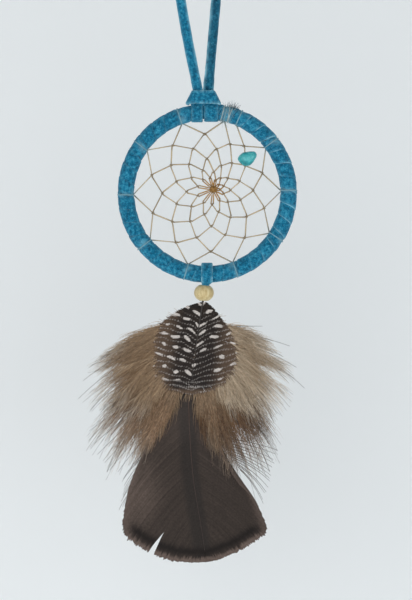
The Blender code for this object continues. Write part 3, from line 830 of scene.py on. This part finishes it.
def spot_dashes(off, depth, place, row):
    """The big white dashes, which get smaller towards the sides and end above the tip."""
    from_row = place - (row + 0.5) * ROW_PITCH
    column_pitch = np.where(off < 0, DASH_PITCH_LEFT, DASH_PITCH_RIGHT)
    cell = np.abs(off) / column_pitch + (row % 2) * 0.5 + 0.2 * np.sin(row * 2.3 + np.sign(off))
    column = np.round(cell)
    from_column = (cell - column) * column_pitch
    seed = row * 3.1 + column * 5.3 + np.sign(off) * 1.7
    tilt = from_row - 0.35 * np.sin(seed * 1.9) - 0.16 * from_column * np.sin(seed * 2.7)
    side = smoothstep(8.0, 13.0, np.abs(off))
    half_long = (1.65 + 0.50 * np.sin(seed) - 0.014 * depth) * (1 - 0.25 * side)
    half_high = (0.54 + 0.13 * np.sin(seed * 1.3)) * (1 - 0.30 * side)
    reach = (from_column / half_long) ** 2 + (tilt / half_high) ** 2
    shown = smoothstep(-0.95, -0.90, np.sin(seed * 4.1))
    return fade(0.70, 1.15, reach) * shown * fade(*DASHES_END, depth)


def spot_dots(off, depth, place, row):
    """The finely dotted, broken lines between the rows of dashes."""
    between = ROW_PITCH / 4.0 - from_middle(place, ROW_PITCH / 2.0)
    from_dot = from_middle(off + 0.31 * row, DOT_PITCH)
    dots = fade(0.14, 0.28, between) * fade(0.15, 0.27, from_dot)
    broken = 0.60 + 0.40 * np.sin(off * 1.3 + row * 2.1) * np.sin(depth * 0.9)
    side = smoothstep(8.0, 13.0, np.abs(off))
    return dots * broken * smoothstep(3.0, 7.0, depth) * (0.62 + 0.15 * side)


def tip_ticks(off, depth):
    """Two rows of short pale ticks across the feather's end."""
    line = depth - TICKS_DEPTH + 0.016 * off ** 2
    ticks = 0.85 * np.exp(-(line / 0.34) ** 2) + 0.4 * np.exp(-((line + 1.7) / 0.26) ** 2)
    ticks = ticks * (0.65 + 0.35 * np.sin(off * 0.9 + 1.0))
    return ticks * fade(0.14, 0.30, from_middle(off, TICK_PITCH)) * fade(4.0, 7.5, np.abs(off))


def spot_pattern(x, z, middle):
    """How white the guinea feather is at each point: rows of dashes that rise away from the
    shaft, with finely dotted lines between them, and ticks at the end."""
    off = x - middle
    depth = SPOTS_TOP - z
    steep = 2.3 - 1.5 * smoothstep(14.0, 27.0, depth)
    place = depth + steep * (1 - np.exp(-np.abs(off) / 3.4)) + 0.17 * np.abs(off)
    place = place + 0.22 * np.sin(off * 0.8 + depth * 0.4)
    row = np.floor(place / ROW_PITCH)
    spots = np.maximum(spot_dashes(off, depth, place, row), spot_dots(off, depth, place, row))
    return np.clip(np.maximum(spots, tip_ticks(off, depth)), 0, 1)


def guinea_colours(rng, lines, s, t):
    """Dark barbs with brown ends and sides, and the white marks over them."""
    x, z = lines[..., 0], lines[..., 2]
    middle = shaft_middle(even_curve(GUINEA_SHAFT, 200), z)
    white = spot_pattern(x, z, middle) * rng.uniform(0.8, 1.0, (len(lines), 1))
    white = white * fade(0.97, 1.0, t)
    brown = smoothstep(0.80, 0.98, t) * smoothstep(0.22, 0.40, s)
    brown = brown + 0.15 * rng.uniform(size=(len(lines), 1))
    brown = brown + 0.85 * smoothstep(5.0, 12.5, np.abs(x - middle))
    brown = np.clip(brown + smoothstep(68.2, 70.8, -z), 0, 1)
    base = toward(GUINEA_DARK, GUINEA_BROWN, brown[..., None])
    return toward(base, SPOT, white[..., None])


def make_guinea_vanes(barb):
    for side, label in SIDES:
        rng = RandomState(70 + side)
        lines, s, t = vane_barbs(rng, GUINEA_SHAFT, GUINEA_EDGE[side], 170, 90, (0.05, 0.985),
                                 1.05, (0.62, 0.34), -1.05, 0.035)
        lines[..., 1] += -0.55 * np.sin(math.pi * t) * (1 - 0.4 * s)
        lines[..., 1] += 0.02 * rng.normal(size=s.shape)
        widths = (0.34 + 0.05 * np.sin(math.pi * t)) * (1 - 0.7 * smoothstep(0.93, 1.0, t))
        vane = strands_piece(f"guinea_barbs_{label}", barb, lines, widths,
                             guinea_colours(rng, lines, s, t), sides=2, roll=0.12 * side)
        place_piece(vane, "guinea_feather", "guinea", f"guinea_vane_{label}")
        make_vane_fringe(barb, side, label)


def make_vane_fringe(barb, side, label):
    """Thin brown barbs that stand out past the guinea vane's sides and end."""
    rng = RandomState(75 + side)
    count = 170
    lines, _, t = vane_barbs(rng, GUINEA_SHAFT, GUINEA_EDGE[side], count, 24, (0.22, 0.985),
                             0.9, (0.62, 0.34), -0.75, 0.07)
    t = t[..., None]
    out = (lines[:, -1:] - lines[:, :1]) * [0.16, 0.0, 0.10] + [0.0, 0.0, -1.9]
    lines = lines + out * t ** 4 + rng.normal(size=(count, 1, 3)) * [0.5, 0.1, 0.5] * t ** 3
    tint = toward(*DOWN_BROWN, rng.uniform(size=(count, 1, 1)))
    fringe = strands_piece(f"guinea_fringe_{label}", barb, lines, np.linspace(0.16, 0.07, 24),
                           tint, sides=2)
    place_piece(fringe, "guinea_feather", "guinea")


def part_vane(lines, s, t):
    """Open the small gap where the barbs of the turkey feather's left vane have come apart."""
    gap = VANE_GAP * smoothstep(0.58, 1.0, t) * np.exp(-np.abs(s - VANE_GAP_AT) / 0.05)
    above = s < VANE_GAP_AT
    lines[..., 0] += gap * np.where(above, -1.0, 0.7)
    lines[..., 2] += gap * np.where(above, 0.5, -0.1)


def turkey_colours(rng, lines, s, t, side):
    """Grey-brown barbs, darker along the shaft and lighter towards the top, with a painted sheen on
    the left vane, a dark band and a pale fringe at the end.
    """
    x, z = lines[..., 0], lines[..., 2]
    corner, dark_from, dark_to = (0.54, 2.6, 5.4) if side < 0 else (0.61, 1.2, 3.0)
    to_tip = (1 - t) * np.linalg.norm(lines[:, -1] - lines[:, 0], axis=1)[:, None]
    at_end = smoothstep(corner - 0.03, corner + 0.05, s)
    colours = TURKEY_DARK * (1 + 0.10 * rng.normal(size=(len(lines), 1, 1)))
    spine = fade(dark_from, dark_to, np.abs(x - shaft_middle(TURKEY_SHAFT[2:], z)))
    colours = toward(colours, TURKEY_SPINE, spine[..., None])
    # Painted sheen: a soft lighter patch on the middle of the left vane, over barbs made lighter
    # towards the top.
    painted_sheen = np.exp(-np.hypot((x + 24.0) / 6.5, (z + 106.0) / 11.0) ** 2)
    light = (1.55 - 0.55 * smoothstep(76.0, 94.0, -z)) * (1 + 1.3 * painted_sheen)
    colours = colours * light[..., None]
    pale_side = 0.45 * smoothstep(0.75, 1.0, t) * (1 - at_end)
    band = np.exp(-((to_tip - BAND_TO_TIP) / BAND_SPREAD) ** 2) * at_end
    fringe = 0.8 * fade(*FRINGE_TO_TIP, to_tip + 0.3 * rng.normal(size=s.shape)) * at_end
    for colour, share in ((TURKEY_FRINGE, pale_side), (TURKEY_BAND, band),
                          (TURKEY_FRINGE, fringe)):
        colours = toward(colours, colour, share[..., None])
    return colours


def make_turkey_vanes(barb):
    for side, label in SIDES:
        rng = RandomState(80 + side)
        lines, s, t = vane_barbs(rng, TURKEY_SHAFT, TURKEY_EDGE[side], 230, 48, (0.26, 0.985),
                                 1.12, (0.60, 0.40), 1.25, 0.010)
        lines[..., 1] += 0.24 * side * np.sin(math.pi * t) - 0.5 * t ** 2
        lines[..., 1] += 0.02 * rng.normal(size=s.shape)
        if side < 0:
            part_vane(lines, s, t)
        widths = (0.54 + 0.12 * t) * (1 - 0.5 * smoothstep(0.965, 1.0, t))
        vane = strands_piece(f"turkey_barbs_{label}", barb, lines, widths,
                             turkey_colours(rng, lines, s, t, side), sides=2, roll=0.06 * side)
        place_piece(vane, "turkey_feather", "turkey", f"turkey_vane_{label}")


def make_shafts(quill):
    for kind, points, colours in (
            ("guinea", GUINEA_SHAFT, (linear(44, 36, 32), linear(34, 29, 28))),
            ("turkey", TURKEY_SHAFT, (linear(84, 60, 46), linear(44, 28, 25)))):
        route = even_curve(points, 90)
        t = np.linspace(0, 1, len(route))[:, None]
        radii = 0.09 + 0.30 * (1 - t[:, 0]) ** 2.5
        shaft = tube_piece(f"{kind}_quill", route, radii, quill, toward(*colours, t), sides=10)
        place_piece(shaft, f"{kind}_feather", "quill", f"{kind}_shaft")


DOWN_BROWN = (linear(186, 160, 130), linear(140, 112, 84))
DOWN_GREY = (linear(214, 196, 172), linear(168, 144, 116))
DOWN_RUST = (linear(146, 114, 86), linear(76, 53, 37))
DOWN_WARM = (linear(176, 144, 114), linear(114, 87, 65))
DOWN_TUFT = (linear(160, 136, 110), linear(116, 92, 70))
DOWN_TIP = linear(58, 46, 40)
DOWN_HAZE = linear(206, 196, 182)
DOWN_GAP = 0.15
DOWN_STEPS = 16
BARBULE_STEPS = 7
BARBULES = 48
BARBULE_LENGTH = (3.5, 9.0)
HAZE_REACH = (0.36, 0.82)
TUFT_BARBS = 55
TUFT_BARBULES = 64
TUFT_DEPTH = 0.25
TUFT_HAZE = 0.1
# Feather, side, depth, count of barbs, (pale, dark) colour, haze, roots, tips.
FLUFF = (
    ("guinea", "left", -0.5, 150, DOWN_BROWN, 0.8,
     ((-13.5, -46.5), (-15.5, -51), (-15.5, -57), (-13, -64)),
     ((-29, -53.5), (-37.5, -58), (-43, -63.5), (-44, -69.5), (-42.5, -75),
      (-38.5, -79.5), (-32, -82.5), (-24, -83.5))),
    ("guinea", "right", -0.4, 130, DOWN_GREY, 0.8,
     ((4.5, -46.5), (6.5, -52), (6.5, -59), (3, -66)),
     ((18, -49.5), (25, -55.5), (29, -62), (29.5, -69), (27.5, -76),
      (22.5, -81), (16, -83), (9, -81))),
    ("turkey", "left", 0.9, 150, DOWN_WARM, 0.6,
     ((-12, -60), (-12.5, -66), (-11.5, -70), (-10.5, -73)),
     ((-42, -82.5), (-41.5, -88.5), (-38, -95), (-33.5, -99.5), (-28.5, -100.5),
      (-24.5, -97))),
    ("turkey", "right", 0.9, 165, DOWN_RUST, 0.35,
     ((3, -60), (3, -67), (0, -72), (-2.5, -75)),
     ((24, -80), (25, -88.5), (22.5, -97), (18.5, -104), (13.5, -105.5),
      (9, -103), (4.5, -98), (0.5, -90))),
)
# Roots, tips.
TUFTS = (
    (((-15, -64), (-12, -67.5), (-9.5, -69)),
     ((-34, -91.5), (-27.5, -94.5), (-21, -91.5), (-12, -79.5))),
    (((-3, -69.5), (0.5, -69), (4, -66)),
     ((-1, -84.5), (1.5, -92), (5.5, -97.5), (10, -97))),
)
# Feather, depth, bend, pairs of root and tip.
WISPS = (
    ("guinea", -0.6, (0.55, 0.25), (
        ((-15, -50), (-41.9, -62.2)), ((-15, -54), (-44.9, -73.1)),
        ((-14, -58), (-41.3, -76.1)), ((-15, -52), (-43.7, -65.8)),
        ((7, -47), (19.5, -47)), ((6, -49), (29.2, -53.7)),
        ((7, -52), (31, -61)), ((7, -53), (33.5, -68.8)),
        ((7, -56), (30.5, -66)), ((6, -60), (25, -77.5)),
        ((6, -63), (20.5, -86.5)), ((8, -50), (27, -57.5)))),
    ("turkey", 0.9, (0.55, 0.42), (
        ((-14, -68), (-41.3, -84.6)), ((-14, -70), (-40, -88.5)),
        ((-14, -72), (-38.8, -92)), ((-13, -74), (-35.8, -95)),
        ((-13, -76), (-34, -97.5)), ((-13, -78), (-31.5, -98.6)),
        ((-14, -66), (-37, -76.5)), ((5, -70), (24.5, -91)),
        ((5, -76), (22.8, -94)))),
    ("turkey", 0.6, (0.60, 0.38), [
        ((3.5 + 0.62 * k, -86 - 0.90 * k), (24.3 - 0.36 * k, -91 - 1.40 * k))
        for k in range(14)]),
    ("turkey", 1.2, (0.62, 0.40), [
        ((-20 - 0.5 * k, -90 - 1.5 * k), (-29.6 - 0.08 * k, -101 - 1.35 * k))
        for k in range(9)]),
)


def down_barbs(rng, y, count, roots, tips):
    """Long soft barbs that fan out from roots to tips, with each one's reach and length."""
    s = np.sort(rng.uniform(0, 1, count))
    root_at = np.clip(s + rng.normal(size=count) * 0.10, 0, 1)
    start = point_along([(x, y, z) for x, z in roots], root_at)
    end = point_along([(x, y, z) for x, z in tips], s)
    reach = (0.45 + 0.60 * rng.uniform(0, 1, count) ** 1.4)[:, None]
    end = start + (end - start) * reach
    end[:, 1] += rng.normal(size=count) * 1.3
    away = end - start
    control = start + away * [0.58, 0.3, 0.36] + rng.normal(size=(count, 3)) * [1, 0.4, 1]
    lines = bend_between(start, end, control, DOWN_STEPS)
    t = np.linspace(0, 1, DOWN_STEPS)[:, None]
    sway = np.sin(t * rng.uniform(2, 5, (count, 1, 1)) + rng.uniform(0, 6, (count, 1, 1)))
    lines = lines + sway * t * rng.normal(size=(count, 1, 3)) * [0.7, 0.4, 0.7]
    return lines, reach, np.linalg.norm(away, axis=1)[:, None]


def down_barbules(rng, lines, reach, whole, tint, haze, per_barb):
    """Fine barbules along the barbs, which turn paler and thinner outwards by haze."""
    where = 0.02 + 0.78 * rng.uniform(0, 1, (len(lines), per_barb)) ** 1.15
    index = where * (DOWN_STEPS - 1)
    low = index.astype(int)
    rows = np.arange(len(lines))[:, None]
    base = toward(lines[rows, low], lines[rows, low + 1], (index - low)[..., None])[:, :, None]
    ahead = unit(np.gradient(lines, axis=1))[rows, low]
    spread = rng.normal(size=(*where.shape, 1)) * 0.52
    depth = rng.normal(size=(*where.shape, 1)) * 0.22
    heading = unit(ahead + np.cross(ahead, BACK) * spread + BACK * depth)
    length = rng.uniform(*BARBULE_LENGTH, where.shape)
    length = np.minimum(length, (1.0 - where) * whole * 0.85 + 0.8)[..., None, None]
    u = np.linspace(0, 1, BARBULE_STEPS)[:, None]
    curl = (ahead - heading)[:, :, None] * length * u ** 2 * 0.55
    droop = np.array([0.0, 0.0, -0.9]) * u ** 2
    barbules = base + heading[:, :, None] * length * u + curl + droop
    outer = haze * smoothstep(*HAZE_REACH, where * reach)[..., None, None]
    tone = tint[:, :, None] * rng.uniform(0.80, 1.25, (*where.shape, 1, 1))
    tone = toward(tone, DOWN_HAZE, outer)
    widths = np.linspace(0.15, 0.045, BARBULE_STEPS) * (1 - 0.6 * outer).reshape(-1, 1)
    return [barbules.reshape(-1, BARBULE_STEPS, 3), widths, tone.reshape(-1, 1, 3)]


def down_clump(rng, y, count, colours, haze, roots, tips, per_barb):
    """A clump's barbs and barbules, each as lines, widths and colours. They stay on their own side
    of the plane between the two feathers, so that either feather can swing past the other."""
    lines, reach, whole = down_barbs(rng, y, count, roots, tips)
    tint = toward(*colours, rng.uniform(0, 1, (count, 1, 1)))
    tipped = smoothstep(0.55, 1.0, np.linspace(0, 1, DOWN_STEPS)[:, None])
    barbules = down_barbules(rng, lines, reach, whole, tint, haze, per_barb)
    side = math.copysign(1.0, y)
    for strands in (lines, barbules[0]):
        strands[..., 1] = side * (DOWN_GAP + np.abs(strands[..., 1] - side * DOWN_GAP))
    return [lines, np.linspace(0.22, 0.09, DOWN_STEPS), toward(tint, DOWN_TIP, tipped)], barbules


def soft_piece(name, down, barbules, rng):
    roll = rng.uniform(-1.1, 1.1, len(barbules[0]))
    return strands_piece(name, down, *barbules, sides=2, roll=roll)


def make_fluff(down):
    """The down at the sides of both feathers, and the after-feather in front of the turkey's."""
    for number, (kind, side, y, count, colours, haze, roots, tips) in enumerate(FLUFF):
        rng = RandomState(101 + number)
        barbs, barbules = down_clump(rng, y, count, colours, haze, roots, tips, BARBULES)
        core = strands_piece(f"{kind}_fluff_{side}_barbs", down, *barbs)
        place_piece(core, f"{kind}_feather", "down")
        soft = soft_piece(f"{kind}_fluff_{side}", down, barbules, rng)
        place_piece(soft, f"{kind}_feather", "down", f"{kind}_down_{side}")
    rng = RandomState(105)
    sets = [down_clump(rng, TUFT_DEPTH, TUFT_BARBS, DOWN_TUFT, TUFT_HAZE, roots, tips,
                       TUFT_BARBULES)[1] for roots, tips in TUFTS]
    joined = [np.concatenate(made) for made in zip(*sets)]
    place_piece(soft_piece("turkey_after_fluff", down, joined, rng), "turkey_feather", "down",
                "turkey_after_feather")


def make_wisps(down):
    """The single dark barbs whose ends stand clear of the down."""
    for number, (kind, y, bend, pairs) in enumerate(WISPS):
        rng = RandomState(110 + number)
        start, end = np.array([[(x, y, z) for x, z in pair] for pair in pairs]).swapaxes(0, 1)
        end = end + rng.normal(size=end.shape) * [0.4, 0.3, 0.4]
        control = start + (end - start) * [bend[0], 0.4, bend[1]]
        t = np.linspace(0, 1, 20)[:, None]
        wisps = strands_piece(f"loose_barbs_{number + 1}", down,
                              bend_between(start, end, control, len(t)),
                              np.linspace(0.34, 0.13, len(t)), toward(DOWN_RUST[1], DOWN_TIP, t))
        place_piece(wisps, f"{kind}_feather", "down")


# ---------------------------------------------------------------------------- stage

WALL_Y = 112.0
FLOOR_Z = -600.0
STAGE_HALF = 700.0
STAGE_COLOUR = linear(243, 246, 247)
LIGHT_TARGET = (0.0, 0.0, -30.0)
DAYLIGHT = (0.95, 0.98, 1.0)


def stage_plane(name, corners):
    """A flat pale backdrop with the given corners, which cannot be seen from behind."""
    m = Nodes(name, 0.95, Base_Color=(*STAGE_COLOUR, 1.0), Specular_IOR_Level=0.1)
    mix = m.new("ShaderNodeMixShader")
    m.link(m.new("ShaderNodeNewGeometry").outputs["Backfacing"], mix.inputs["Fac"])
    m.link(m.shader.outputs["BSDF"], mix.inputs[1])
    m.link(m.new("ShaderNodeBsdfTransparent").outputs["BSDF"], mix.inputs[2])
    m.link(mix.outputs["Shader"], m.tree.nodes["Material Output"].inputs["Surface"])
    mesh = bpy.data.meshes.new(name)
    mesh.from_pydata([tuple(to_world(corner)) for corner in corners], [], [(0, 1, 2, 3)])
    mesh.materials.append(m.material)
    add_object(name, mesh)


def make_light(name, place, size, power, colour=(1.0, 1.0, 1.0)):
    data = bpy.data.lights.new(name, "AREA")
    data.shape = "SQUARE"
    data.size = size
    data.energy = power
    data.color = colour
    light = add_object(name, data)
    light.location = tuple(to_world(place))
    away = light.location - Vector(to_world(LIGHT_TARGET))
    light.rotation_euler = away.to_track_quat("Z", "Y").to_euler()


def make_stage():
    half = STAGE_HALF
    stage_plane("backdrop_wall", ((-half, WALL_Y, FLOOR_Z), (half, WALL_Y, FLOOR_Z),
                                  (half, WALL_Y, half), (-half, WALL_Y, half)))
    stage_plane("floor", ((-half, -half, FLOOR_Z), (half, -half, FLOOR_Z),
                          (half, half, FLOOR_Z), (-half, half, FLOOR_Z)))
    make_light("key_light", (-370, -780, -80), 1.0, 3.85)
    make_light("fill_light", (560, -820, -340), 1.0, 3.8, DAYLIGHT)
    make_light("back_light", (300, 800, 400), 0.9, 4.0)
    world = bpy.data.worlds.new("studio")
    world.use_nodes = True
    background = world.node_tree.nodes["Background"]
    background.inputs["Color"].default_value = (*DAYLIGHT, 1.0)
    background.inputs["Strength"].default_value = 0.39
    bpy.context.scene.world = world
    bpy.context.scene.view_settings.view_transform = "Standard"


def make_camera():
    data = bpy.data.cameras.new("camera")
    data.sensor_width = SENSOR
    data.lens = SENSOR * CAMERA_DISTANCE / (VIEW_HEIGHT * MM)
    data.clip_end = 20.0
    camera = add_object("camera", data)
    camera.location = tuple(to_world((VIEW_CENTRE[0], -CAMERA_DISTANCE / MM, VIEW_CENTRE[1])))
    camera.rotation_euler = (math.pi / 2, 0.0, 0.0)
    bpy.context.scene.camera = camera


def make_hoop_and_laces():
    dark, body = linear(6, 74, 104), linear(18, 116, 152)
    light, pale = linear(66, 164, 196), linear(150, 208, 226)
    suede = suede_material("teal_suede", dark, body, light, pale)
    # teal_suede_shaded is a darker copy of the suede for the right strand of the hanging loop:
    # painted shade.
    shaded = suede_material("teal_suede_shaded", dark * 0.6, body * 0.62, light * 0.66, pale)
    thread = tinted_material("waxed_thread", 0.55, 2600.0, 0.5, Specular_IOR_Level=0.4)
    make_loop({"left": suede, "right": shaded})
    make_hitch(suede)
    make_wrap(suede)
    make_web(thread)
    make_start_knot(thread)
    make_frayed_end(thread)
    make_chip(stone_material())
    make_drop_lace(suede)
    make_bead(wood_material())
    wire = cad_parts["hoop_core"]
    wire.data.materials.clear()
    wire.data.materials.append(steel_material())


def make_feathers():
    barb = tinted_material("feather_barbs", 0.6, 1800.0, 0.1, Specular_IOR_Level=0.15,
                           Sheen_Weight=0.05)
    down = tinted_material("feather_down", 0.9, 1200.0, 0.1, Specular_IOR_Level=0.15,
                           Sheen_Weight=0.3)
    make_guinea_vanes(barb)
    make_turkey_vanes(barb)
    make_shafts(tinted_material("quill_horn", 0.4, 900.0, 0.2))
    make_fluff(down)
    make_wisps(down)


def main():
    make_camera()
    make_hoop_and_laces()
    make_feathers()
    make_stage()


main()
